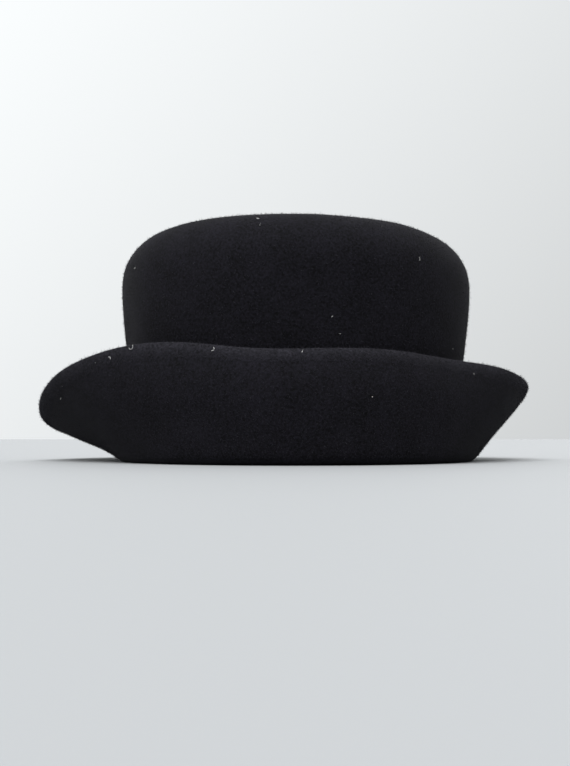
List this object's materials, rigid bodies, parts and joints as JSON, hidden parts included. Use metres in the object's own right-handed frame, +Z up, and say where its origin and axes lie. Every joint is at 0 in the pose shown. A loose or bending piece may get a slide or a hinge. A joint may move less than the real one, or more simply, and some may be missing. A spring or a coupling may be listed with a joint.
{
  "type": "cocktail hat",
  "caption": "Soft felt hat with a full rounded crown and a wide brim that curls up steeply in front, standing on the fold of its brim.",
  "frame": {"origin": "middle of the hat's box, on the surface that it stands on", "axes": "+Z up through the crown, -Y towards the front, where the brim stands steepest, +X towards the wearer's left"},
  "size_m": [0.275, 0.2642, 0.1257],
  "materials": {
    "felt": "matt brushed wool felt, black",
    "ribbon": "fine ribbed ribbon, black",
    "tape": "plain woven tape, grey"
  },
  "bodies": {
    "root": {"felt_body": "felt", "inner_ribbon": "ribbon", "size_tape": "tape"}
  },
  "joints": []
}
